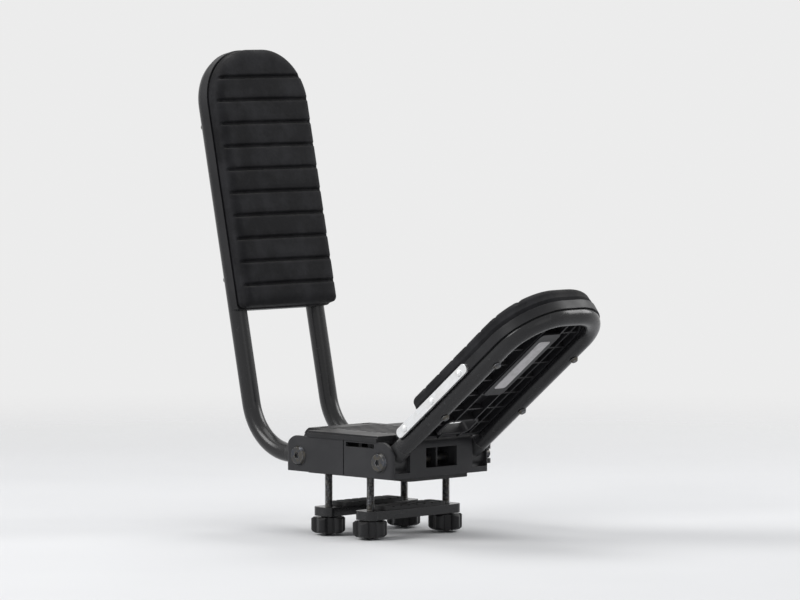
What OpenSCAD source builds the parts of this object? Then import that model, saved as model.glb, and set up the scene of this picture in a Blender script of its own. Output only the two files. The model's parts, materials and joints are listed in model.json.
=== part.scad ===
// Folding J-style kayak carrier that clamps on a roof crossbar.
// The crossbar runs along X. The short arm leans out to +X, the long arm stands on the -X side.
// The origin is the middle of the seat face that rests on top of the crossbar.

/* [Crossbar clamp] */
// Width of the crossbar that fits between the clamp bolts
bar_w = 85; // [70:1:86]
// Height of the crossbar between the seat pad and the clamp bars
bar_t = 27; // [22:1:32]
// Distance of each clamp bar from the middle of the base
bolt_x = 30; // [28:0.5:30]
// Distance of each clamp bolt from the middle of the crossbar
bolt_y = 54; // [53:0.5:54.5]
// Diameter of the clamp bolts
bolt_d = 8; // [6:1:8]

/* [Base] */
// Length of the base along the crossbar
base_l = 154; // [152:1:160]
// Width of the base across the crossbar
base_w = 138; // [138:1:142]
// Height of the moulded housing above its seat pad
housing_h = 36; // [36:1:40]
// Thickness of the top cover
cover_t = 6; // [5:0.5:7]
// Thickness of the rubber seat pad
seat_t = 4; // [3:0.5:4.5]

/* [Arms] */
// Distance of each arm pivot from the middle of the base
pivot_x = 58; // [57:0.5:59]
// Height of the arm pivots above the crossbar
pivot_z = 20; // [20:0.5:21]
// Distance from the middle of an arm to each of its two legs
leg_y = 55; // [55:0.5:55.5]
// Outside diameter of the arm tube
tube_d = 19; // [17:0.5:19]
// Wall of the arm tube
tube_wall = 2; // [1.5:0.25:2.5]
// Bend radius at the two corners of each loop
corner_r = 45; // [40:1:48]
// Slope of the short arm above the crossbar
short_angle = 38; // [36:1:42]
// Length of the short arm from its pivot to the middle of the end tube
short_reach = 247; // [220:1:270]
// Slope of the long arm above the crossbar
long_angle = 78; // [74:1:82]
// Bend radius at the foot of the long arm
foot_r = 60; // [56:1:62]
// Length of the straight long legs from the foot bend to the middle of the end tube
long_reach = 355; // [320:1:380]
// Where the long arm's pad starts above the foot bend
long_pad_start = 95; // [90:1:130]

/* [Pads] */
// Thickness of the pads that the hull lies against
pad_t = 18; // [12:1:22]
// Spacing of the grooves across the pads
groove_pitch = 24; // [20:1:30]

/* [Hidden] */
$fn = 64;

// Colours as the photograph shows them
black = [0.07, 0.07, 0.08];
charcoal = [0.20, 0.20, 0.21];
gloss_black = [0.04, 0.04, 0.05];
foam_black = [0.10, 0.10, 0.11];
satin_silver = [0.80, 0.81, 0.82];
black_steel = [0.13, 0.13, 0.14];
strip_grey = [0.66, 0.65, 0.66];

// Housing and the hinge pockets at its four corners
wall = 3.5;
base_r = 5;
end_r = 14;
top_z = seat_t + housing_h;
cover_top = top_z + cover_t;
skin = 3;
knuckle_d = 30;
knuckle_w = 20;
pocket_in = leg_y - knuckle_w / 2 - 0.5;
pocket_out = leg_y + knuckle_w / 2 + 0.5;
pocket_x = pivot_x - knuckle_d / 2 - 1;
pocket_top = pivot_z + knuckle_d / 2 + 0.8;
ledge_top = pivot_z - 10.5;
long_notch = pivot_x - 13;
short_notch = pivot_x - 3;
rib = 2;
boss_d = 23.6;
boss_top = 30;

// Crossbar clamp, from the liner down to the knob
liner_t = 4;
channel_w = 26;
channel_l = 2 * bolt_y + 24;
channel_h = 9;
steel_t = 3;
bar_bottom = -bar_t;
channel_top = bar_bottom - liner_t;
washer_t = 1.6;
knob_top = channel_top - channel_h - 1.5;
knob_h = 16;
bolt_end = knob_top - knob_h - 2;
head_d = 17;
head_h = 5;
hole_gap = 0.2;

// Cover screws
screw_x = 62;
screw_y = 30;
screw_d = 4;
screw_end = pivot_z + 8;

// Arm pivots and their clamping levers
pin_d = 10;
bush_d = 12;
running_gap = 0.05;
pin_head_d = 20;
pin_head_t = 3;
cam_washer_t = 2.8;
cam_y = base_w / 2 + 11;
cam_r = 8;
cam_rise = 0.4;
lever_pin_d = 4;
lever_w = 19;
lever_l = 46;
tang_h = 9;

// Arm sections, measured along the arm (u), across it (v) and towards the hull (w)
leg_start = 26;
panel_low = 2.5;
panel_high = 12;
panel_skin = 3.5;
panel_half = 66.5;
edge_r = 6;
tube_gap = 0.15;
plate_t = 3;
plate_h = 10;
plate_u0 = 38;
plate_u1 = 158;
land_half = 14;
strip_l = 80;
strip_w = 16;
strip_t = 1;
strip_u = 165;
slot_u0 = 44;
slot_l = 20;

// Plan outline from x0 to x1 with its own corner radius at each end
module plan(x0, x1, half, r0, r1) {
    translate([x0 + r0, -half]) square([x1 - r1 - x0 - r0, 2 * half]);
    translate([x0, -half + r0]) square([r0 + 1, 2 * (half - r0)]);
    translate([x1 - r1 - 1, -half + r1]) square([r1 + 1, 2 * (half - r1)]);
    for (side = [-1, 1]) {
        translate([x0 + r0, side * (half - r0)]) circle(r0);
        translate([x1 - r1, side * (half - r1)]) circle(r1);
    }
}

// Cylinder along Y, centred on the origin
module across(d, len) {
    rotate([90, 0, 0]) cylinder(d = d, h = len, center = true);
}

// Copies a piece to both legs of an arm
module both_legs() {
    for (side = [-1, 1]) translate([0, side * leg_y, 0]) children();
}

// Copies a piece to the four clamp bolts
module at_bolts() {
    for (x = [-1, 1], y = [-1, 1]) translate([x * bolt_x, y * bolt_y, 0]) children();
}

// Copies a piece to the four cover screws
module at_screws() {
    for (x = [-1, 1], y = [-1, 1]) translate([x * screw_x, y * screw_y, 0]) children();
}

// Short arm frame: u along the arm, w towards the hull
module on_short_arm() {
    translate([pivot_x, 0, pivot_z]) rotate([0, -short_angle, 0]) children();
}

// Long arm frame, which starts where the foot bend ends
module on_long_arm() {
    out = pivot_x + leg_start + foot_r * sin(long_angle);
    up = foot_r * (1 - cos(long_angle));
    translate([-out, 0, pivot_z + up]) rotate([0, long_angle - 180, 0]) mirror([0, 0, 1]) children();
}

// Solid of the loop's outline: two legs from u0, two corners and the end tube
module loop(u0, reach, d) {
    straight = reach - corner_r;
    both_legs() translate([u0, 0, 0]) rotate([0, 90, 0]) cylinder(d = d, h = straight - u0);
    for (side = [-1, 1]) scale([1, side, 1]) translate([straight, leg_y - corner_r, 0])
        rotate_extrude(angle = 90) translate([corner_r, 0]) circle(d = d);
    translate([reach, 0, 0]) across(d, 2 * (leg_y - corner_r));
}

// Foot bends of the long arm, down to the knuckles and a little past them for the bore
module feet(d, past) {
    turn = long_angle + past;
    both_legs() translate([0, 0, foot_r]) rotate([90, 0, 0])
        rotate_extrude(angle = turn, start = 270 - turn) translate([foot_r, 0]) circle(d = d);
}

// Side view of the base with its two upper ends rounded, as a block right across it
module rounded_ends(edge) {
    half = base_l / 2 + edge;
    r = end_r + edge;
    top = cover_top + edge;
    rotate([90, 0, 0]) linear_extrude(base_w + 10, center = true) {
        translate([-half, 0]) square([2 * half, top - r]);
        translate([-half + r, 0]) square([2 * (half - r), top]);
        for (side = [-1, 1]) translate([side * (half - r), top - r]) circle(r);
    }
}

// Corners taken off the cheeks outside the hinge pockets, round the arm pivots
module cheek_corners() {
    cheek_t = base_w / 2 - pocket_out;
    for (end = [-1, 1], side = [-1, 1]) scale([end, side, 1])
        translate([pivot_x + 1, base_w / 2 + 1, top_z - 18]) rotate([90, 0, 0])
            linear_extrude(cheek_t + 1.3) difference() {
                square(25);
                circle(18.4);
            }
}

// Housing as a solid block
module housing_block() intersection() {
    translate([0, 0, seat_t]) linear_extrude(housing_h)
        plan(-base_l / 2, base_l / 2, base_w / 2, base_r, base_r);
    rounded_ends(0);
}

// Inner walls, bolt bosses and ribs under the top skin
module housing_frame() {
    inner_h = top_z - seat_t - 1;
    for (end = [-1, 1], side = [-1, 1]) scale([end, side, 1]) {
        translate([-1, pocket_in - wall, seat_t]) cube([base_l / 2 - 1, wall, inner_h]);
        translate([pocket_x - rib, pocket_in - 1, seat_t]) cube([rib, base_w / 2 - pocket_in, inner_h]);
    }
    at_bolts() translate([0, 0, seat_t]) cylinder(d = boss_d, h = inner_h);
    at_screws() translate([0, 0, seat_t + 8]) cylinder(d = 9, h = inner_h - 8);
    for (y = [-24, 0, 24]) translate([-base_l / 2 + 2, y - rib / 2, seat_t])
        cube([base_l - 4, rib, inner_h]);
    for (x = [-50, -27, 0, 27, 50]) translate([x - rib / 2, -pocket_in + 1, seat_t])
        cube([rib, 2 * pocket_in - 2, inner_h]);
}

// Moulded base housing
module base_housing() color(charcoal) difference() {
    union() {
        difference() {
            housing_block();
            translate([0, 0, seat_t - 1]) linear_extrude(housing_h + 1 - skin)
                plan(-base_l / 2 + wall, base_l / 2 - wall, base_w / 2 - wall, base_r - 3, base_r - 3);
        }
        housing_frame();
    }
    // Hinge pockets, each with a ledge at the end that its leg comes to rest on
    for (end = [-1, 1], side = [-1, 1]) scale([end, side, 1]) {
        width = pocket_out - pocket_in;
        notch = end < 0 ? long_notch : short_notch;
        translate([pocket_x, pocket_in, 0]) cube([base_l / 2 - wall - pocket_x, width, pocket_top]);
        translate([pocket_x, pocket_in, ledge_top])
            cube([base_l / 2 + 1 - pocket_x, width, pocket_top - ledge_top]);
        translate([notch, pocket_in, ledge_top]) cube([base_l, width, housing_h]);
    }
    for (x = [-1, 1]) translate([x * pivot_x, 0, pivot_z]) across(pin_d + hole_gap, base_w + 2);
    at_bolts() {
        translate([0, 0, -1]) cylinder(d = bolt_d + 2 * hole_gap, h = top_z);
        translate([0, 0, boss_top]) cylinder(d = head_d + 1, h = housing_h);
    }
    at_screws() translate([0, 0, screw_end - 2]) cylinder(d = screw_d, h = housing_h);
    cheek_corners();
    // Slots under the cover, seams beside them and a window in each end
    for (side = [-1, 1]) translate([0, side * (base_w / 2), 0]) {
        translate([10, -2 * wall, top_z - 6.5]) cube([40, 4 * wall, 4.5]);
        translate([6, -1, 0]) cube([1.5, 2, top_z + 1]);
    }
    for (x = [-1, 1]) translate([x * base_l / 2 - 2 * wall, -22, seat_t + 9]) cube([4 * wall, 44, 20]);
}

// Top cover with a stepped edge, grip grooves and notches for the legs
module top_cover() color(black) difference() {
    edge = 1.5;
    half_l = base_l / 2 + edge;
    half_w = base_w / 2 + edge;
    intersection() {
        translate([0, 0, top_z]) {
            linear_extrude(cover_t - 2) plan(-half_l, half_l, half_w, base_r + edge, base_r + edge);
            linear_extrude(cover_t) plan(-half_l + 2, half_l - 2, half_w - 2, base_r, base_r);
        }
        rounded_ends(edge);
    }
    for (i = [-5:4]) translate([i * 10 + 2, 0, cover_top - 1.2]) linear_extrude(3) plan(0, 5, 34, 2.4, 2.4);
    for (end = [-1, 1], side = [-1, 1]) scale([end, side, 1])
        translate([end < 0 ? long_notch : short_notch, pocket_in - 1, top_z - 1])
            cube([base_l, half_w + 2 - pocket_in, cover_t + 2]);
    at_screws() {
        translate([0, 0, top_z - 1]) cylinder(d = screw_d + 2 * hole_gap, h = cover_t + 2);
        translate([0, 0, cover_top - 2.6]) cylinder(d = 8.4, h = 4);
    }
}

// Four pan head screws that hold the cover
module cover_screws() color(black_steel) at_screws() difference() {
    union() {
        translate([0, 0, cover_top - 2.6]) cylinder(d = 7.6, h = 2.2);
        translate([0, 0, screw_end]) cylinder(d = screw_d, h = cover_top - 2 - screw_end);
    }
    translate([0, 0, cover_top - 1.6]) cylinder(d = 3.5, h = 2, $fn = 6);
}

// Rubber seat pad between the housing and the crossbar
module seat_pad() color(black) {
    half = pocket_in - 1;
    linear_extrude(seat_t) plan(-base_l / 2 + 3, base_l / 2 - 3, half, 6, 6);
}

// Pressed steel channel across the underside of the crossbar
module clamp_bar(x) color(gloss_black) translate([x, 0, channel_top - channel_h]) difference() {
    linear_extrude(channel_h) rotate([0, 0, 90]) plan(-channel_l / 2, channel_l / 2, channel_w / 2, 8, 8);
    translate([0, 0, -1]) linear_extrude(channel_h + 1 - steel_t) rotate([0, 0, 90])
        plan(-channel_l / 2 + steel_t, channel_l / 2 - steel_t, channel_w / 2 - steel_t, 5, 5);
    for (side = [-1, 1]) translate([0, side * bolt_y, -1])
        cylinder(d = bolt_d + 2 * hole_gap, h = channel_h + 2);
}

// Rubber liner on the channel, grooved where it grips the crossbar
module clamp_liner(x) color(black) translate([x, 0, channel_top]) difference() {
    linear_extrude(liner_t) rotate([0, 0, 90]) plan(-bar_w / 2, bar_w / 2, channel_w / 2 - 1, 3, 3);
    for (i = [-3:3]) translate([-channel_w / 2, i * 11 - 1.5, liner_t - 1.2]) cube([channel_w, 3, 2]);
}

// Four carriage bolts with square necks
module clamp_bolts() color(black_steel) at_bolts() {
    translate([0, 0, boss_top]) rotate_extrude() polygon([
        [0, 0], [head_d / 2, 0], [head_d / 2, 1.5], [head_d / 3, head_h - 1], [0, head_h]
    ]);
    translate([0, 0, bolt_end]) cylinder(d = bolt_d, h = boss_top - bolt_end);
}

// Four steel washers inside the channels
module clamp_washers() color(black_steel) at_bolts()
    translate([0, 0, channel_top - steel_t - washer_t]) difference() {
        cylinder(d = 17, h = washer_t);
        translate([0, 0, -1]) cylinder(d = bolt_d + 2 * hole_gap, h = washer_t + 2);
    }

// Lobed hand knob, with its hub pointing up
module lobed_knob(d, h, lobes) {
    lobe_r = d / 7;
    intersection() {
        linear_extrude(h) {
            circle(d / 2 - lobe_r * 0.9);
            for (i = [0:lobes - 1]) rotate(i * 360 / lobes) translate([d / 2 - lobe_r, 0]) circle(lobe_r);
        }
        rotate_extrude() polygon([
            [0, 0], [d / 2 - 4, 0], [d / 2 - 1.2, 1.6], [d / 2 + 1, 5],
            [d / 2 + 1, h - 2.5], [d / 2 - 2.5, h], [0, h]
        ]);
    }
}

// Four hand knobs under the clamp bars
module clamp_knobs() color(gloss_black) at_bolts() difference() {
    hub_h = channel_top - steel_t - washer_t - knob_top;
    union() {
        translate([0, 0, knob_top - knob_h]) lobed_knob(36, knob_h, 5);
        translate([0, 0, knob_top - 1]) cylinder(d = 16, h = hub_h + 1);
    }
    translate([0, 0, knob_top - knob_h - 1]) cylinder(d = bolt_d, h = knob_h + hub_h + 2);
}

// Pivot pin with a flat head at the front and a tang for the lever at the rear
module pivot_pin(x) color(black_steel) translate([x, 0, pivot_z]) difference() {
    rear = base_w / 2 + cam_washer_t;
    union() {
        translate([0, -base_w / 2, 0]) rotate([-90, 0, 0]) cylinder(d = pin_d, h = base_w / 2 + rear);
        translate([0, -base_w / 2 - pin_head_t, 0]) rotate([-90, 0, 0])
            cylinder(d1 = pin_head_d - 3, d2 = pin_head_d, h = pin_head_t);
        intersection() {
            translate([0, rear - 1, 0]) rotate([-90, 0, 0]) cylinder(d = pin_d, h = cam_y - rear + 6);
            translate([-pin_d, 0, -tang_h / 2]) cube([2 * pin_d, 2 * cam_y, tang_h]);
        }
    }
    translate([0, -base_w / 2 - pin_head_t - 1, 0]) rotate([-90, 0, 0]) cylinder(d = 7, h = 3, $fn = 6);
    translate([0, cam_y, -pin_d]) cylinder(d = lever_pin_d, h = 2 * pin_d);
}

// Washers that the levers press on
module lever_washers() color(black_steel) for (x = [-pivot_x, pivot_x])
    translate([x, base_w / 2 + cam_washer_t / 2, pivot_z]) difference() {
        across(22, cam_washer_t);
        across(pin_d + hole_gap, cam_washer_t + 2);
    }

// Cross pins through the lever forks
module lever_pins() color(black_steel) for (x = [-pivot_x, pivot_x])
    translate([x, cam_y, pivot_z - lever_w / 2 + 0.5]) cylinder(d = lever_pin_d, h = lever_w - 1);

// Quick-release lever: an eccentric head and a curved handle, seen from above
module lever_outline() {
    translate([0, -cam_rise]) circle(cam_r - cam_rise);
    polygon(concat(
        [for (i = [0:12]) let (t = i / 12) [lever_l * t, -1 - 2.5 * t + 3 * sin(150 * t)]],
        [for (i = [12:-1:0]) let (t = i / 12) [lever_l * t, 5.5 + 2.5 * sin(180 * t) - 1.2 * t]]
    ));
    translate([lever_l, 0.2]) circle(4.1);
}

// Lever in its own frame, with the cross pin at the origin
module lever(side) translate([-side * pivot_x, cam_y, pivot_z]) scale([side, 1, 1]) difference() {
    translate([0, 0, -lever_w / 2]) linear_extrude(lever_w) lever_outline();
    translate([-cam_r - 3, -cam_r - 3, -tang_h / 2 - 0.4])
        cube([2 * cam_r + 5, 2 * cam_r + 6, tang_h + 0.8]);
    translate([0, 0, -lever_w]) cylinder(d = lever_pin_d + 2 * running_gap, h = 2 * lever_w);
    translate([lever_l - 9, 12, 0]) across(9, 12);
}

// Cast knuckle: hinge barrel, tapered neck and a spigot inside the tube
module knuckles() color(gloss_black) both_legs() difference() {
    union() {
        across(knuckle_d, knuckle_w);
        rotate([0, 90, 0]) cylinder(d1 = 20, d2 = tube_d, h = leg_start);
        rotate([0, 90, 0]) cylinder(d = tube_d - 2 * tube_wall - 0.4, h = leg_start + 5);
    }
    across(bush_d, knuckle_w + 2);
}

// Plain bearing sleeves in the knuckles
module bushes() color(strip_grey) both_legs() difference() {
    across(bush_d, knuckle_w + 0.6);
    across(pin_d + 2 * running_gap, knuckle_w + 3);
}

// Where the screws go through the legs of an arm
module at_leg_screws(stations) {
    for (u = stations) both_legs() translate([u, 0, 0]) children();
}

short_stations = [92, 182];
long_stations = [long_pad_start + 35, long_reach - corner_r - 20];

// Long arm tube
module long_arm_tube() color(gloss_black) on_long_arm() difference() {
    bore_d = tube_d - 2 * tube_wall;
    union() {
        feet(tube_d, 0);
        loop(0, long_reach, tube_d);
    }
    feet(bore_d, 1);
    loop(0, long_reach, bore_d);
    at_leg_screws(long_stations) cylinder(d = screw_d + hole_gap, h = 3 * tube_d, center = true);
}

// Short arm tube
module short_arm_tube() color(gloss_black) on_short_arm() difference() {
    loop(leg_start, short_reach, tube_d);
    loop(leg_start - 0.01, short_reach, tube_d - 2 * tube_wall);
    at_leg_screws(short_stations) cylinder(d = screw_d + hole_gap, h = 3 * tube_d, center = true);
}

// Ribs and the flat land behind a panel, inside its recess
module panel_ribs(u0, u1, land_u0, land_u1) {
    rib_h = panel_high - panel_skin + 1;
    for (v = [-land_half, land_half]) translate([u0, v - rib / 2, 0.5]) cube([u1 - u0, rib, rib_h]);
    for (v = [-31, 31]) translate([u0, v - rib / 2, 3]) cube([u1 - u0, rib, rib_h - 2.5]);
    for (u = [u0 + 22 : 26 : u1 - 6]) translate([u, -50, 3]) cube([rib, 100, rib_h - 2.5]);
    translate([0, 0, -1]) linear_extrude(2.5) plan(land_u0, land_u1, land_half, 5, 5);
}

// Moulded panel that saddles the loop and backs the pad
module panel(u0, reach, land_u0, land_u1, stations) difference() {
    end = reach + tube_d / 2 + 1.5;
    in_end = reach - tube_d / 2 - 2;
    in_r = corner_r - tube_d / 2 - 2;
    in_half = leg_y - tube_d / 2 - 2;
    union() {
        difference() {
            translate([0, 0, panel_low]) linear_extrude(panel_high - panel_low)
                plan(u0, end, panel_half, edge_r, corner_r + panel_half - leg_y);
            translate([0, 0, panel_low - 1]) linear_extrude(panel_high - panel_low + 1 - panel_skin)
                plan(u0 + 4, in_end, in_half, edge_r, in_r);
        }
        intersection() {
            panel_ribs(u0, in_end, land_u0, land_u1);
            translate([0, 0, -2]) linear_extrude(panel_high)
                plan(u0 + 2, in_end + 1, in_half + 1, edge_r, in_r);
        }
    }
    loop(u0 - 20, reach, tube_d + 2 * tube_gap);
    at_leg_screws(stations) cylinder(d = screw_d, h = panel_high - 1);
}

// Long arm panel
module long_arm_panel() color(black) on_long_arm() difference() {
    panel(long_pad_start, long_reach, long_pad_start + 60, long_reach - 55, long_stations);
}

// Short arm panel, with a rimmed strap slot near the base and a recess for the plain strip
module short_arm_panel() color(black) on_short_arm() difference() {
    union() {
        panel(34, short_reach, strip_u - strip_l / 2 - 12, strip_u + strip_l / 2 + 12, short_stations);
        translate([0, 0, 1]) linear_extrude(panel_high - 2)
            plan(slot_u0 - 3, slot_u0 + slot_l + 3, 23, 8, 8);
    }
    translate([0, 0, -5]) linear_extrude(30) plan(slot_u0, slot_u0 + slot_l, 20, 5, 5);
    translate([0, 0, -2]) linear_extrude(1 + strip_t - 0.2)
        plan(strip_u - strip_l / 2 - 0.3, strip_u + strip_l / 2 + 0.3, strip_w / 2 + 0.3, 3, 3);
    for (side = [-1, 1], u = rivet_stations) translate([u, side * panel_half, plate_w]) across(4, 6);
}

// Screws through the legs into the panels
module leg_screws(stations) color(black_steel) at_leg_screws(stations) {
    translate([0, 0, -tube_d / 2 - 2.5]) cylinder(d1 = 6, d2 = 9, h = 2.5);
    translate([0, 0, -tube_d / 2]) cylinder(d = screw_d, h = tube_d / 2 + panel_high - 3);
}

// Long arm screws
module long_arm_screws() on_long_arm() leg_screws(long_stations);

// Short arm screws
module short_arm_screws() on_short_arm() leg_screws(short_stations);

// Pad with a crowned section and grooves across it
module pad(u0, u1) color(foam_black) difference() {
    inset = 1.5;
    half = panel_half - inset;
    r_end = corner_r + half - leg_y;
    intersection() {
        translate([0, 0, panel_high]) linear_extrude(pad_t) plan(u0 + inset, u1, half, edge_r, r_end);
        translate([u0, 0, panel_high]) rotate([90, 0, 90]) linear_extrude(u1 - u0 + 2) polygon(concat(
            [[half, -1]],
            [for (a = [0:15:90]) [half - 7 + 7 * cos(a), pad_t - 7 + 7 * sin(a)]],
            [for (a = [90:15:180]) [-half + 7 + 7 * cos(a), pad_t - 7 + 7 * sin(a)]],
            [[-half, -1]]
        ));
        translate([0, half + 5, panel_high]) rotate([90, 0, 0]) linear_extrude(2 * half + 10) polygon([
            [u0, -1], [u1 + 1, -1], [u1 + 1, pad_t - 9], [u1 - 4, pad_t - 3], [u1 - 12, pad_t],
            [u0 + 12, pad_t], [u0 + 4, pad_t - 3], [u0, pad_t - 9]
        ]);
    }
    for (u = [u0 + groove_pitch : groove_pitch : u1 - 20])
        translate([u - 1.5, -half - 1, panel_high + pad_t - 4]) cube([3, 2 * half + 2, 5]);
}

// Long arm pad
module long_arm_pad() on_long_arm() pad(long_pad_start, long_reach + tube_d / 2);

// Short arm pad
module short_arm_pad() on_short_arm() pad(slot_u0 + slot_l + 4, short_reach + tube_d / 2);

plate_w = panel_high - plate_h / 2;
rivet_stations = [50, 98, 146];

// Satin aluminium plate along one edge of the short arm
module side_plate(side) color(satin_silver) on_short_arm()
    translate([0, side * (panel_half + plate_t / 2), plate_w]) difference() {
        rotate([90, 0, 0]) linear_extrude(plate_t, center = true)
            plan(plate_u0, plate_u1, plate_h / 2, 4.5, 4.5);
        for (u = rivet_stations) translate([u, 0, 0]) across(4, 10);
    }

// Domed rivets that hold the side plates
module side_plate_rivets() color(satin_silver) on_short_arm() for (side = [-1, 1], u = rivet_stations)
    translate([u, side * (panel_half - 3), plate_w]) rotate([-side * 90, 0, 0]) rotate_extrude() polygon([
        [0, 0], [2, 0], [2, 3 + plate_t], [3.6, 3 + plate_t], [3, 4.2 + plate_t], [0, 4.8 + plate_t]
    ]);

// Plain grey strip on the outer face of the short arm
module plain_strip() color(strip_grey) on_short_arm() translate([0, 0, -1.2]) linear_extrude(strip_t)
    plan(strip_u - strip_l / 2, strip_u + strip_l / 2, strip_w / 2, 3, 3);

base_housing();
top_cover();
cover_screws();
seat_pad();
clamp_bar(-bolt_x);  // clamp_bar_left
clamp_bar(bolt_x);  // clamp_bar_right
clamp_liner(-bolt_x);  // clamp_liner_left
clamp_liner(bolt_x);  // clamp_liner_right
clamp_bolts();
clamp_washers();
clamp_knobs();
pivot_pin(-pivot_x);  // long_arm_pin
pivot_pin(pivot_x);  // short_arm_pin
lever_washers();
lever_pins();
color(gloss_black) lever(1);  // long_arm_lever
color(gloss_black) lever(-1);  // short_arm_lever
long_arm_tube();
translate([-pivot_x, 0, pivot_z]) rotate([0, 180, 0]) knuckles();  // long_arm_knuckles
translate([-pivot_x, 0, pivot_z]) bushes();  // long_arm_bushes
long_arm_panel();
long_arm_screws();
long_arm_pad();
short_arm_tube();
on_short_arm() knuckles();  // short_arm_knuckles
on_short_arm() bushes();  // short_arm_bushes
short_arm_panel();
short_arm_screws();
short_arm_pad();
side_plate(-1);  // side_plate_front
side_plate(1);  // side_plate_rear
side_plate_rivets();
plain_strip();
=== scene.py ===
import json
import math

import bmesh
import bpy
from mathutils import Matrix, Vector, noise


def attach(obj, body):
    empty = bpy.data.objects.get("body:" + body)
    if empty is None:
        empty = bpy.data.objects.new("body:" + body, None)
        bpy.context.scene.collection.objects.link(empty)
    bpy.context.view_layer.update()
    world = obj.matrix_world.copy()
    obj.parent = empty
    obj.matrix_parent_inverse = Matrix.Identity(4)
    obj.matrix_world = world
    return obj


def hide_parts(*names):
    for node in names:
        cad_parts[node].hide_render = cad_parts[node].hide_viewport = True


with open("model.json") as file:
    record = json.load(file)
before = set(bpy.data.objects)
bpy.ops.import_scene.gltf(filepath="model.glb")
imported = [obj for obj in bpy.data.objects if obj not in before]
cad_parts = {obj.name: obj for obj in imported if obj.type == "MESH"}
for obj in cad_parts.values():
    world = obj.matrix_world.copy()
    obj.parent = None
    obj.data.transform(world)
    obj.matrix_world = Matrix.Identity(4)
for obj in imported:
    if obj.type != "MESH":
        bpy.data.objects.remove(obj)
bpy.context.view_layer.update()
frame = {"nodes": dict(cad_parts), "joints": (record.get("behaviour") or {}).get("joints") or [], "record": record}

# Sizes of the arms in millimetres, as the solids have them
MM = 0.001
SHORT_SLOPE = math.radians(38)
LONG_SLOPE = math.radians(78)
LEG_START = 26
FOOT_R = 60

# Foam pads in millimetres: start and end along the arm, then the section that both share
LONG_PAD = (96.5, 364.5)
SHORT_PAD = (69.5, 256.5)
PAD_BASE = 12.0
PAD_HALF = 65.0
PAD_T = 17.9
CROWN = 1.6
R_START = 6.0
R_END = 55.0
ROLL_START = 9.5
ROLL = 10.0
GROOVE_PITCH = 24
GROOVE_HALF = 1.9
GROOVE_DEPTH = 4.0
GROOVE_FADE = 5.0
PLAIN_END = 20
UNEVEN = 0.25
# Height above the panel and distance in from the outline, down the side of a pad
SIDE_RINGS = ((5.2, -0.15), (4.6, -0.55), (4.0, -0.15), (1.2, 0.1), (0.02, 0.8))

# Stations of the pad's mesh: from its start, round its end, across a groove and in between
START_STEPS = (0, 0.2, 0.7, 1.5, 2.6, 4, 6, 8, 10.5)
GROOVE_STEPS = (-3.2, -2.4, -1.9, -1.4, -0.9, 0, 0.9, 1.4, 1.9, 2.4, 3.2)
END_STEPS = 22
ROW_PITCH = 6.0
ROW_START = 12
ROW_MARGIN = 30
LEAST_GAP = 0.33
PAD_COLS = 56

# Clamp bolts in millimetres, with heights from the top of the crossbar
BOLT_X = 30
BOLT_Y = 54
PITCH = 1.25
TURNS = 51
ROOT_R = 3.4
CREST_R = 3.98
THREAD_TOP = 6.0
TURN_STEPS = 20
ROUND_STEPS = 32
# Radius and height down the domed head and plain shank, and down the chamfered tip
HEAD = ((0, 35), (3.5, 34.6), (6.6, 33.2), (8.4, 31.4), (8.5, 30), (4, 30), (4, 5.4), (0, 5.4))
TIP = ((0, -57.0), (3.75, -57.0), (3.75, -58.9), (3.1, -59.4), (0, -59.4))

# Stage, in metres, degrees and watts
FLOOR_Z = -0.06
FLOOR_R = 4
FADE_START = 0.45
FADE_END = 1.9
LAMP_AIM = (0.02, 0.0, 0.16)
LAMPS = {
    "key": ((-0.9, -2.1, 1.7), 1.3, 44),
    "fill": ((2.2, -0.6, 0.7), 1.2, 2),
    "rim": ((0.9, 1.9, 1.5), 1.2, 26),
    "top": ((-0.2, 0.0, 2.2), 1.4, 15),
}
AZIMUTH = math.radians(45)
ELEVATION = math.radians(3.5)
DISTANCE = 5.3
CAMERA_AIM = Vector((0.018, 0.0, 0.178))
LENS = 236
CLIP_END = 200


# Frames of the two arms

def arm_frame(joint, side, slope, out=0.0, up=0.0):
    """Where an arm's own frame starts, and its directions along the arm and towards the hull."""
    pivot = next(Vector(j["pos_m"]) for j in frame["joints"] if j["name"] == joint) / MM
    along = Vector((side * math.cos(slope), 0, math.sin(slope)))
    inward = Vector((-side * math.sin(slope), 0, math.cos(slope)))
    return pivot + Vector((side * out, 0, up)), along, inward


def on_arm(arm, u, v, w):
    """A point u along the arm, v across it and w towards the hull, in metres."""
    start, along, inward = arm
    return (start + along * u + Vector((0, v, 0)) + inward * w) * MM


SHORT_ARM = arm_frame("short_arm_fold", 1, SHORT_SLOPE)
LONG_ARM = arm_frame("long_arm_fold", -1, LONG_SLOPE,
                     out=LEG_START + FOOT_R * math.sin(LONG_SLOPE),
                     up=FOOT_R * (1 - math.cos(LONG_SLOPE)))


# Shader helpers

def node(tree, kind, **values):
    """A shader node with its settings and its inputs given by name."""
    made = tree.nodes.new(kind)
    for key, value in values.items():
        if hasattr(made, key):
            setattr(made, key, value)
        else:
            made.inputs[key.replace("_", " ")].default_value = value
    return made


def join(tree, source, target):
    tree.links.new(source, target)


def new_group(name, inputs, outputs):
    """An empty node group with float inputs {name: default} and typed outputs {name: type}."""
    tree = bpy.data.node_groups.new(name, "ShaderNodeTree")
    for label, default in inputs.items():
        sock = tree.interface.new_socket(label, in_out="INPUT", socket_type="NodeSocketFloat")
        sock.default_value = default
    for label, kind in outputs.items():
        tree.interface.new_socket(label, in_out="OUTPUT", socket_type=kind)
    return tree, tree.nodes.new("NodeGroupInput"), tree.nodes.new("NodeGroupOutput")


def object_coords(tree):
    return node(tree, "ShaderNodeTexCoord").outputs["Object"]


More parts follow.
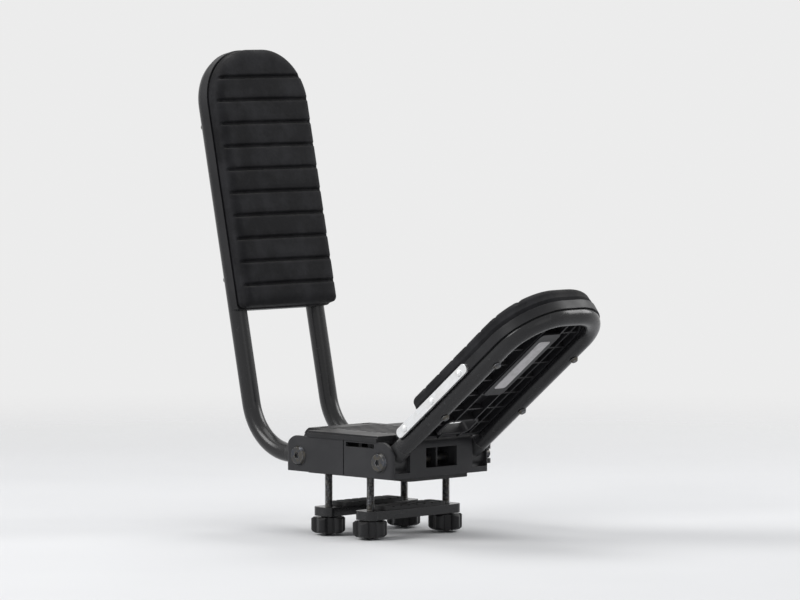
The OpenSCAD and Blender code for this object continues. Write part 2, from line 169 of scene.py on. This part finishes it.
def scaled_noise(tree, scale, detail=2.0, rough=0.5, vector=None):
    """Noise in object space. Scale is in features per metre."""
    tex = node(tree, "ShaderNodeTexNoise", Scale=scale, Detail=detail, Roughness=rough)
    join(tree, vector or object_coords(tree), tex.inputs["Vector"])
    return tex.outputs["Fac"]


def stretched(tree, vector, factors):
    """Coordinates multiplied by a factor on each axis."""
    made = node(tree, "ShaderNodeVectorMath", operation="MULTIPLY")
    made.inputs[1].default_value = factors
    join(tree, vector, made.inputs[0])
    return made.outputs[0]


def remap(tree, value, low, high, to_low, to_high):
    """Takes low to high smoothly onto to_low to to_high."""
    made = node(tree, "ShaderNodeMapRange", interpolation_type="SMOOTHSTEP",
                From_Min=low, From_Max=high, To_Min=to_low, To_Max=to_high)
    join(tree, value, made.inputs["Value"])
    return made.outputs["Result"]


def maths(tree, operation, a, b):
    made = node(tree, "ShaderNodeMath", operation=operation)
    for i, value in enumerate((a, b)):
        if isinstance(value, (int, float)):
            made.inputs[i].default_value = value
        else:
            join(tree, value, made.inputs[i])
    return made.outputs[0]


def times(tree, a, b):
    return maths(tree, "MULTIPLY", a, b)


def plus(tree, a, b):
    return maths(tree, "ADD", a, b)


def mix_colour(tree, factor, a, b):
    made = node(tree, "ShaderNodeMix", data_type="RGBA")
    for i, value in ((0, factor), (6, a), (7, b)):
        if isinstance(value, (int, float, tuple)):
            made.inputs[i].default_value = value
        else:
            join(tree, value, made.inputs[i])
    return made.outputs[2]


# Effects that several materials share

def make_grain_group():
    """Spark-eroded mould texture: fine pebbles and slower unevenness."""
    outputs = {"Height": "NodeSocketFloat", "Slow": "NodeSocketFloat"}
    tree, gin, gout = new_group("mould_grain", {"Scale": 1400.0}, outputs)
    cells = node(tree, "ShaderNodeTexVoronoi", feature="SMOOTH_F1")
    fine = node(tree, "ShaderNodeTexNoise", Detail=3.0)
    for tex in (cells, fine):
        join(tree, object_coords(tree), tex.inputs["Vector"])
        join(tree, gin.outputs["Scale"], tex.inputs["Scale"])
    pebbles = times(tree, cells.outputs["Distance"], 0.6)
    join(tree, plus(tree, pebbles, fine.outputs["Fac"]), gout.inputs["Height"])
    join(tree, scaled_noise(tree, 28, 4.0, 0.6), gout.inputs["Slow"])
    return tree


def make_dust_group():
    """Dust that has settled on faces that look up, broken up by noise."""
    tree, gin, gout = new_group("settled_dust", {"Amount": 0.5}, {"Mask": "NodeSocketFloat"})
    split = node(tree, "ShaderNodeSeparateXYZ")
    join(tree, node(tree, "ShaderNodeTexCoord").outputs["Normal"], split.inputs[0])
    up = remap(tree, split.outputs["Z"], 0.35, 1.0, 0.0, 1.0)
    patches = remap(tree, scaled_noise(tree, 60, 6.0, 0.65), 0.38, 0.72, 0.15, 1.0)
    specks = remap(tree, scaled_noise(tree, 900, 2.0, 0.5), 0.45, 0.75, 0.4, 1.0)
    mask = times(tree, times(tree, up, patches), specks)
    join(tree, times(tree, mask, gin.outputs["Amount"]), gout.inputs["Mask"])
    return tree


def make_edge_group():
    """Rounded edges for the normal, and a mask of worn edges."""
    outputs = {"Normal": "NodeSocketVector", "Mask": "NodeSocketFloat"}
    tree, gin, gout = new_group("worn_edges", {"Wear": 0.5}, outputs)
    rounded = node(tree, "ShaderNodeBevel", samples=4, Radius=0.0006)
    join(tree, rounded.outputs["Normal"], gout.inputs["Normal"])
    wide = node(tree, "ShaderNodeBevel", samples=4, Radius=0.0011)
    dot = node(tree, "ShaderNodeVectorMath", operation="DOT_PRODUCT")
    join(tree, wide.outputs["Normal"], dot.inputs[0])
    join(tree, node(tree, "ShaderNodeNewGeometry").outputs["Normal"], dot.inputs[1])
    edge = remap(tree, dot.outputs["Value"], 0.80, 0.985, 1.0, 0.0)
    broken = remap(tree, scaled_noise(tree, 420, 4.0, 0.6), 0.42, 0.62, 0.0, 1.0)
    join(tree, times(tree, times(tree, edge, broken), gin.outputs["Wear"]), gout.inputs["Mask"])
    return tree


GROUPS = {"grain": make_grain_group(), "dust": make_dust_group(), "edge": make_edge_group()}


def use_group(tree, key, **values):
    """A shared effect placed in a material with its own values."""
    made = tree.nodes.new("ShaderNodeGroup")
    made.node_tree = GROUPS[key]
    for name, value in values.items():
        made.inputs[name].default_value = value
    return made


# Materials

def new_material(name):
    mat = bpy.data.materials.new(name)
    mat.use_nodes = True
    return mat, mat.node_tree, mat.node_tree.nodes["Principled BSDF"]


def set_bump(tree, shader, height, distance, strength, normal=None):
    """Bumps the surface by height, over a normal where one is given."""
    bump = node(tree, "ShaderNodeBump", Strength=strength, Distance=distance)
    join(tree, height, bump.inputs["Height"])
    if normal is not None:
        join(tree, normal, bump.inputs["Normal"])
    join(tree, bump.outputs["Normal"], shader.inputs["Normal"])


def moulded_plastic(name, colour, faded, rough, grain, depth, dust, wear=0.4):
    """Moulded plastic with pebble grain, slow fading, dust on top faces and rubbed edges."""
    mat, tree, shader = new_material(name)
    grains = use_group(tree, "grain", Scale=grain)
    edges = use_group(tree, "edge", Wear=wear)
    settled = use_group(tree, "dust", Amount=dust)
    bare = tuple(2.6 * channel for channel in faded[:3]) + (1,)
    fading = remap(tree, grains.outputs["Slow"], 0.35, 0.7, 0.0, 0.55)
    rubbed = mix_colour(tree, edges.outputs["Mask"], mix_colour(tree, fading, colour, faded), bare)
    dusty = mix_colour(tree, settled.outputs["Mask"], rubbed, (0.24, 0.225, 0.2, 1))
    join(tree, dusty, shader.inputs["Base Color"])
    worn = maths(tree, "SUBTRACT", rough, times(tree, edges.outputs["Mask"], 0.15))
    uneven = remap(tree, grains.outputs["Slow"], 0.3, 0.7, -0.07, 0.07)
    join(tree, plus(tree, worn, uneven), shader.inputs["Roughness"])
    shader.inputs["Specular IOR Level"].default_value = 0.22
    set_bump(tree, shader, grains.outputs["Height"], depth, 0.55, edges.outputs["Normal"])
    return mat


def powder_coat(name, colour, pale, rough):
    """Powder coat: orange peel, faint scuffs and chips on edges."""
    mat, tree, shader = new_material(name)
    edges = use_group(tree, "edge", Wear=0.5)
    settled = use_group(tree, "dust", Amount=0.22)
    scuff = remap(tree, scaled_noise(tree, 150, 8.0, 0.75), 0.56, 0.7, 0.0, 0.5)
    scuffed = mix_colour(tree, scuff, colour, pale)
    chipped = mix_colour(tree, edges.outputs["Mask"], scuffed, (0.16, 0.155, 0.15, 1))
    dusty = mix_colour(tree, settled.outputs["Mask"], chipped, (0.22, 0.21, 0.19, 1))
    join(tree, dusty, shader.inputs["Base Color"])
    join(tree, plus(tree, times(tree, scuff, 0.3), rough), shader.inputs["Roughness"])
    shader.inputs["Specular IOR Level"].default_value = 0.3
    shader.inputs["Coat Weight"].default_value = 0.12
    shader.inputs["Coat Roughness"].default_value = 0.2
    peel = scaled_noise(tree, 520, 2.0, 0.4)
    set_bump(tree, shader, peel, 0.0001, 0.35, edges.outputs["Normal"])
    return mat


def black_zinc():
    """Black zinc on steel: warm and bluish bloom, dull spots and bright worn edges."""
    mat, tree, shader = new_material("black_zinc")
    edges = use_group(tree, "edge", Wear=0.8)
    bloom = remap(tree, scaled_noise(tree, 180, 3.0, 0.5), 0.35, 0.65, 0.0, 1.0)
    tint = mix_colour(tree, bloom, (0.060, 0.064, 0.074, 1), (0.085, 0.078, 0.066, 1))
    spots = remap(tree, scaled_noise(tree, 900, 5.0, 0.7), 0.6, 0.7, 0.0, 0.8)
    dull = mix_colour(tree, spots, tint, (0.045, 0.043, 0.040, 1))
    worn = mix_colour(tree, edges.outputs["Mask"], dull, (0.42, 0.42, 0.43, 1))
    join(tree, worn, shader.inputs["Base Color"])
    shader.inputs["Metallic"].default_value = 0.85
    rough = plus(tree, times(tree, spots, 0.3), remap(tree, bloom, 0, 1, 0.28, 0.38))
    join(tree, rough, shader.inputs["Roughness"])
    pitting = scaled_noise(tree, 1600, 3.0, 0.6)
    set_bump(tree, shader, pitting, 0.00004, 0.4, edges.outputs["Normal"])
    return mat


def satin_aluminium():
    """Anodised aluminium, brushed along the short arm."""
    mat, tree, shader = new_material("satin_aluminium")
    edges = use_group(tree, "edge", Wear=0.5)
    turn = node(tree, "ShaderNodeVectorRotate", rotation_type="Y_AXIS", Angle=SHORT_SLOPE)
    join(tree, object_coords(tree), turn.inputs["Vector"])
    along = stretched(tree, turn.outputs[0], (1.0, 60.0, 60.0))
    brush = scaled_noise(tree, 70, 3.0, 0.7, along)
    streaks = remap(tree, brush, 0.3, 0.7, 0.0, 1.0)
    shade = mix_colour(tree, streaks, (0.74, 0.75, 0.76, 1), (0.88, 0.89, 0.90, 1))
    smudge = remap(tree, scaled_noise(tree, 70, 4.0, 0.6), 0.4, 0.7, 0.0, 0.6)
    soiled = mix_colour(tree, smudge, shade, (0.66, 0.65, 0.63, 1))
    worn = mix_colour(tree, edges.outputs["Mask"], soiled, (0.9, 0.9, 0.9, 1))
    join(tree, worn, shader.inputs["Base Color"])
    shader.inputs["Metallic"].default_value = 1.0
    rough = plus(tree, remap(tree, brush, 0.3, 0.7, 0.30, 0.42), times(tree, smudge, 0.12))
    join(tree, rough, shader.inputs["Roughness"])
    set_bump(tree, shader, brush, 0.00003, 0.35, edges.outputs["Normal"])
    return mat


def soft_rubber():
    """Matte rubber with a chalky bloom and a fine skin."""
    mat, tree, shader = new_material("soft_rubber")
    edges = use_group(tree, "edge", Wear=0.5)
    bloom = remap(tree, scaled_noise(tree, 90, 6.0, 0.65), 0.45, 0.7, 0.0, 0.6)
    bloomed = mix_colour(tree, bloom, (0.018, 0.018, 0.019, 1), (0.045, 0.044, 0.043, 1))
    worn = mix_colour(tree, edges.outputs["Mask"], bloomed, (0.07, 0.069, 0.067, 1))
    join(tree, worn, shader.inputs["Base Color"])
    join(tree, remap(tree, bloom, 0, 0.6, 0.72, 0.9), shader.inputs["Roughness"])
    skin = scaled_noise(tree, 1500, 4.0, 0.6)
    set_bump(tree, shader, skin, 0.00012, 0.5, edges.outputs["Normal"])
    return mat


def pad_foam():
    """Closed-cell foam: a dense skin with pin holes, which are bumped and also darkened with painted shade, soft
    creases and a dusty bloom.
    """
    mat, tree, shader = new_material("pad_foam")
    cells = node(tree, "ShaderNodeTexVoronoi", feature="F1", Scale=620)
    join(tree, object_coords(tree), cells.inputs["Vector"])
    pores = remap(tree, cells.outputs["Distance"], 0.0, 0.28, 0.0, 1.0)
    skin = scaled_noise(tree, 2100, 3.0, 0.6)
    crease = scaled_noise(tree, 130, 5.0, 0.6)
    slow = remap(tree, scaled_noise(tree, 34, 5.0, 0.6), 0.38, 0.68, 0.0, 1.0)
    base = mix_colour(tree, slow, (0.009, 0.009, 0.010, 1), (0.021, 0.021, 0.023, 1))
    # Painted shade: the pin holes are darkened in the colour here, as well as bumped further down
    pore_shaded = mix_colour(tree, pores, (0.004, 0.004, 0.005, 1), base)
    settled = use_group(tree, "dust", Amount=0.2)
    dusty = mix_colour(tree, settled.outputs["Mask"], pore_shaded, (0.2, 0.19, 0.17, 1))
    join(tree, dusty, shader.inputs["Base Color"])
    join(tree, remap(tree, skin, 0.3, 0.7, 0.62, 0.8), shader.inputs["Roughness"])
    shader.inputs["Specular IOR Level"].default_value = 0.12
    shader.inputs["Sheen Weight"].default_value = 0.02
    shader.inputs["Sheen Roughness"].default_value = 0.4
    fine = plus(tree, times(tree, pores, 0.5), times(tree, skin, 0.5))
    set_bump(tree, shader, plus(tree, fine, times(tree, crease, 1.6)), 0.0003, 0.85)
    return mat


def bush_plastic():
    """Pale acetal sleeve with grease grime."""
    mat, tree, shader = new_material("bush_plastic")
    grime = remap(tree, scaled_noise(tree, 260, 5.0, 0.6), 0.45, 0.65, 0.0, 0.8)
    grimy = mix_colour(tree, grime, (0.62, 0.6, 0.55, 1), (0.2, 0.18, 0.15, 1))
    join(tree, grimy, shader.inputs["Base Color"])
    join(tree, remap(tree, grime, 0, 0.8, 0.35, 0.6), shader.inputs["Roughness"])
    set_bump(tree, shader, scaled_noise(tree, 1300, 2.0, 0.5), 0.00003, 0.3)
    return mat


def grey_strip():
    """Plain grey strip: satin film with fine scratches and rain marks."""
    mat, tree, shader = new_material("grey_strip")
    edges = use_group(tree, "edge", Wear=0.3)
    across = stretched(tree, object_coords(tree), (1.0, 14.0, 1.0))
    scratch = remap(tree, scaled_noise(tree, 160, 6.0, 0.8, across), 0.6, 0.68, 0.0, 0.7)
    stain = remap(tree, scaled_noise(tree, 110, 4.0, 0.6), 0.4, 0.7, 0.0, 1.0)
    stained = mix_colour(tree, stain, (0.42, 0.41, 0.42, 1), (0.33, 0.32, 0.32, 1))
    marked = mix_colour(tree, scratch, stained, (0.5, 0.49, 0.5, 1))
    worn = mix_colour(tree, edges.outputs["Mask"], marked, (0.2, 0.2, 0.2, 1))
    join(tree, worn, shader.inputs["Base Color"])
    join(tree, remap(tree, stain, 0, 1, 0.34, 0.5), shader.inputs["Roughness"])
    set_bump(tree, shader, scratch, 0.00002, 0.3, edges.outputs["Normal"])
    return mat


def make_materials():
    """One finished material for each slot of the record."""
    mats = {
        "black_steel": black_zinc(),
        "satin_aluminium": satin_aluminium(),
        "rubber": soft_rubber(),
        "pad_foam": pad_foam(),
        "bush_plastic": bush_plastic(),
        "grey_strip": grey_strip(),
    }
    # Colour, faded colour, roughness, grains a metre, depth of the grain and amount of dust
    mats["housing_plastic"] = moulded_plastic(
        "housing_plastic", (0.026, 0.026, 0.028, 1), (0.042, 0.042, 0.044, 1), 0.50, 1300, 0.00012, 0.3)
    mats["cover_plastic"] = moulded_plastic(
        "cover_plastic", (0.017, 0.017, 0.018, 1), (0.030, 0.030, 0.032, 1), 0.44, 1500, 0.0001, 0.35)
    mats["panel_plastic"] = moulded_plastic(
        "panel_plastic", (0.012, 0.012, 0.013, 1), (0.022, 0.022, 0.024, 1), 0.42, 1200, 0.00012, 0.25)
    mats["knob_plastic"] = moulded_plastic(
        "knob_plastic", (0.016, 0.016, 0.017, 1), (0.028, 0.028, 0.029, 1), 0.34, 1700, 0.00006, 0.2,
        wear=0.6)
    # Colour, scuffed colour and roughness
    mats["cast_black"] = powder_coat(
        "cast_black", (0.020, 0.020, 0.021, 1), (0.045, 0.045, 0.046, 1), 0.45)
    mats["coated_steel"] = powder_coat(
        "coated_steel", (0.013, 0.013, 0.014, 1), (0.035, 0.035, 0.036, 1), 0.24)
    return mats


def dress_nodes(mats):
    """Gives every CAD node the finished material of its slot."""
    for part in frame["record"]["subparts"]:
        mesh = frame["nodes"][part["node"]].data
        mesh.materials.clear()
        mesh.materials.append(mats[part["material_slot"]])


# Foam pads

def finish_mesh(bm, name, mat, smooth=False):
    """Turns the faces outwards and makes an object of the mesh."""
    bmesh.ops.recalc_face_normals(bm, faces=bm.faces)
    for face in bm.faces:
        face.smooth = smooth
    mesh = bpy.data.meshes.new(name)
    bm.to_mesh(mesh)
    bm.free()
    mesh.materials.append(mat)
    piece = bpy.data.objects.new(name, mesh)
    bpy.context.scene.collection.objects.link(piece)
    return piece


def half_width(u, u0, u1):
    """Half the pad's width at u: straight sides, small corners at the start, a round end."""
    if u > u1 - R_END:
        reach = min(R_END, u - (u1 - R_END))
        return PAD_HALF - R_END + math.sqrt(R_END ** 2 - reach ** 2)
    if u < u0 + R_START:
        reach = min(R_START, u0 + R_START - u)
        return PAD_HALF - R_START + math.sqrt(R_START ** 2 - reach ** 2)
    return PAD_HALF


def edge_distance(u, v, u0, u1):
    """Distance from a point inside the pad's outline to its edge."""
    v = abs(v)
    if u > u1 - R_END and v > PAD_HALF - R_END:
        return max(0.0, R_END - math.hypot(u - (u1 - R_END), v - (PAD_HALF - R_END)))
    if u < u0 + R_START and v > PAD_HALF - R_START:
        return max(0.0, R_START - math.hypot(u0 + R_START - u, v - (PAD_HALF - R_START)))
    return max(0.0, min(u - u0, u1 - u, PAD_HALF - v))


def pad_height(u, v, u0, u1, grooves):
    """Height of the pad's face: crowned, rolled over at the edge and moulded with soft grooves."""
    inset = edge_distance(u, v, u0, u1)
    top = PAD_T - CROWN * (v / PAD_HALF) ** 2
    outer = 1 - min(1.0, inset / ROLL)
    height = ROLL_START + (top - ROLL_START) * math.sqrt(max(0.0, 1 - outer ** 2))
    fade = min(1.0, inset / GROOVE_FADE)
    for groove in grooves:
        height -= GROOVE_DEPTH * fade * math.exp(-((u - groove) / GROOVE_HALF) ** 4)
    return height + UNEVEN * fade * noise.noise(Vector((u / 26, v / 30, u0)))


def pad_rows(u0, u1, grooves):
    """Stations along the pad, close together where the form changes quickly."""
    rows = {u0 + step for step in START_STEPS}
    rows |= {u1 - R_END * (1 - math.sin(math.pi / 2 * i / END_STEPS)) for i in range(END_STEPS + 1)}
    rows |= {u0 + ROW_START + ROW_PITCH * i for i in range(int((u1 - u0 - ROW_MARGIN) / ROW_PITCH))}
    rows |= {groove + step for groove in grooves for step in GROOVE_STEPS}
    kept = []
    for u in sorted(row for row in rows if u0 <= row <= u1):
        if not kept or u - kept[-1] > LEAST_GAP or u == u1:
            kept.append(u)
    return kept


def pull_in(u, v, u0, u1, inset):
    """Moves a point of the outline inwards by inset, square to the outline."""
    corner_v = PAD_HALF - R_END if u > u1 - R_END else PAD_HALF - R_START
    corner_u = min(max(u, u0 + R_START), u1 - R_END)
    du = u - corner_u
    dv = math.copysign(max(0.0, abs(v) - corner_v + 0.001), v)
    size = math.hypot(du, dv)
    return u - inset * du / size, v - inset * dv / size


def pad_face(bm, arm, rows, u0, u1, grooves):
    """The crowned face: a grid whose points go to their stations on the pad.

    Each point keeps its own u and v in a layer, which the sides read.
    """
    plan = bm.verts.layers.float_vector.new("plan")
    last = len(rows) - 1
    bmesh.ops.create_grid(bm, x_segments=last, y_segments=PAD_COLS, size=1)
    for vert in bm.verts:
        u = rows[round((vert.co.x + 1) / 2 * last)]
        v = half_width(u, u0, u1) * math.sin(math.pi / 2 * vert.co.y)
        vert[plan] = (u, v, 0)
        vert.co = on_arm(arm, u, v, PAD_BASE + pad_height(u, v, u0, u1, grooves))
    return plan


def pad_sides(bm, arm, plan, u0, u1):
    """The side wall, ring by ring round its parting line, and the flat back."""
    edges = [edge for edge in bm.edges if edge.is_boundary]
    for low, inset in SIDE_RINGS:
        made = bmesh.ops.extrude_edge_only(bm, edges=edges)["geom"]
        for vert in (item for item in made if isinstance(item, bmesh.types.BMVert)):
            u, v = pull_in(vert[plan].x, vert[plan].y, u0, u1, inset)
            vert.co = on_arm(arm, u, v, PAD_BASE + low)
        edges = [item for item in made if isinstance(item, bmesh.types.BMEdge) and item.is_boundary]
    bmesh.ops.holes_fill(bm, edges=edges, sides=0)
    bm.verts.layers.float_vector.remove(plan)


def groove_places(u0, u1):
    """Middles of the grooves, on the pitch that the solids have."""
    first = u0 - 1.5 + GROOVE_PITCH
    count = int((u1 - PLAIN_END - first) // GROOVE_PITCH) + 1
    return [first + GROOVE_PITCH * i for i in range(count)]


def pad_piece(name, arm, ends, body, stands_for, mat):
    """A crowned foam pad on its panel from one end to the other, as one closed form."""
    u0, u1 = ends
    grooves = groove_places(u0, u1)
    bm = bmesh.new()
    plan = pad_face(bm, arm, pad_rows(u0, u1, grooves), u0, u1, grooves)
    pad_sides(bm, arm, plan, u0, u1)
    piece = finish_mesh(bm, name, mat, smooth=True)
    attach(piece, body)
    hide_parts(stands_for)


# Threaded bolts

def spun(bm, profile, steps, drop=0.0):
    """Spins (radius, height) points once about the upright axis, dropping by drop on the way."""
    verts = [bm.verts.new(Vector((r, 0, z)) * MM) for r, z in profile]
    edges = [bm.edges.new(pair) for pair in zip(verts, verts[1:])]
    bmesh.ops.spin(bm, geom=verts + edges, cent=(0, 0, 0), axis=(0, 0, -1), angle=2 * math.pi,
                   dvec=Vector((0, 0, -drop / steps)) * MM, steps=steps, use_merge=not drop)


def copies(bm, offsets):
    """Leaves what is in the mesh where it is and adds a copy at each offset from it."""
    geom = bm.verts[:] + bm.edges[:] + bm.faces[:]
    for offset in offsets:
        made = bmesh.ops.duplicate(bm, geom=geom)["geom"]
        verts = [item for item in made if isinstance(item, bmesh.types.BMVert)]
        bmesh.ops.translate(bm, verts=verts, vec=Vector(offset) * MM)


def threaded_bolts(mat):
    """Four bolts: domed head, plain shank and a rolled M8 thread down to a chamfered tip."""
    ridge = ((ROOT_R, 0), (CREST_R, 0.42), (CREST_R, 0.62), (ROOT_R, 1.04), (ROOT_R, PITCH))
    bm = bmesh.new()
    spun(bm, [(r, THREAD_TOP - down) for r, down in ridge], TURN_STEPS, PITCH)
    copies(bm, [(0, 0, -PITCH * turn) for turn in range(1, TURNS)])
    spun(bm, HEAD, ROUND_STEPS)
    spun(bm, TIP, ROUND_STEPS)
    bmesh.ops.remove_doubles(bm, verts=bm.verts, dist=1e-7)
    bmesh.ops.holes_fill(bm, edges=[edge for edge in bm.edges if edge.is_boundary], sides=0)
    bmesh.ops.translate(bm, verts=bm.verts, vec=Vector((-BOLT_X, -BOLT_Y, 0)) * MM)
    copies(bm, [(2 * BOLT_X, 0, 0), (0, 2 * BOLT_Y, 0), (2 * BOLT_X, 2 * BOLT_Y, 0)])
    piece = finish_mesh(bm, "threaded_bolts", mat)
    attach(piece, "base")
    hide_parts("clamp_bolts")


# Stage

def floor_paint():
    """Pale paint that fades out with distance, so that the floor has no far edge."""
    mat, tree, shader = new_material("floor_paint")
    shade = remap(tree, scaled_noise(tree, 2.0, 3.0, 0.5), 0.3, 0.7, 0.0, 1.0)
    colour = mix_colour(tree, shade, (0.78, 0.78, 0.78, 1), (0.81, 0.81, 0.81, 1))
    join(tree, colour, shader.inputs["Base Color"])
    shader.inputs["Roughness"].default_value = 0.8
    shader.inputs["Specular IOR Level"].default_value = 0.15
    far = node(tree, "ShaderNodeVectorMath", operation="LENGTH")
    join(tree, object_coords(tree), far.inputs[0])
    opaque = remap(tree, far.outputs["Value"], FADE_START, FADE_END, 1.0, 0.0)
    join(tree, opaque, shader.inputs["Alpha"])
    return mat


def make_floor():
    """Plain floor just under the ends of the clamp bolts."""
    mesh = bpy.data.meshes.new("floor")
    bm = bmesh.new()
    bmesh.ops.create_circle(bm, cap_ends=True, segments=96, radius=FLOOR_R)
    bm.to_mesh(mesh)
    bm.free()
    mesh.materials.append(floor_paint())
    floor = bpy.data.objects.new("floor", mesh)
    floor.location.z = FLOOR_Z
    bpy.context.scene.collection.objects.link(floor)


def make_lamp(name, place, size, watts):
    """A square soft lamp that looks at the carrier."""
    data = bpy.data.lights.new(name, "AREA")
    data.shape = "SQUARE"
    data.size = size
    data.energy = watts
    lamp = bpy.data.objects.new(name, data)
    lamp.location = place
    lamp.rotation_euler = (Vector(LAMP_AIM) - Vector(place)).to_track_quat("-Z", "Y").to_euler()
    bpy.context.scene.collection.objects.link(lamp)


def make_world():
    """Soft light all round, with a near-white background for the camera and for reflections."""
    world = bpy.data.worlds.new("studio")
    bpy.context.scene.world = world
    world.use_nodes = True
    tree = world.node_tree
    path = node(tree, "ShaderNodeLightPath")
    seen = path.outputs["Is Camera Ray"]
    for ray in ("Is Glossy Ray", "Is Transmission Ray"):
        seen = maths(tree, "MAXIMUM", seen, path.outputs[ray])
    colour = mix_colour(tree, seen, (0.30, 0.31, 0.33, 1), (0.84, 0.84, 0.84, 1))
    join(tree, colour, tree.nodes["Background"].inputs["Color"])


def make_camera():
    """The photograph's viewing angle and distance, zoomed in on the carrier."""
    data = bpy.data.cameras.new("camera")
    data.lens = LENS
    data.clip_end = CLIP_END
    cam = bpy.data.objects.new("camera", data)
    bpy.context.scene.collection.objects.link(cam)
    level = math.cos(ELEVATION)
    back = Vector((math.sin(AZIMUTH) * level, -math.cos(AZIMUTH) * level, math.sin(ELEVATION)))
    cam.location = CAMERA_AIM + back * DISTANCE
    cam.rotation_euler = (-back).to_track_quat("-Z", "Y").to_euler()
    bpy.context.scene.camera = cam


def make_stage():
    make_floor()
    make_world()
    for name, (place, size, watts) in LAMPS.items():
        make_lamp(name, place, size, watts)
    make_camera()
    bpy.context.scene.view_settings.view_transform = "Standard"


MATS = make_materials()
dress_nodes(MATS)
pad_piece("long_pad", LONG_ARM, LONG_PAD, "long_arm", "long_arm_pad", MATS["pad_foam"])
pad_piece("short_pad", SHORT_ARM, SHORT_PAD, "short_arm", "short_arm_pad", MATS["pad_foam"])
threaded_bolts(MATS["black_steel"])
make_stage()
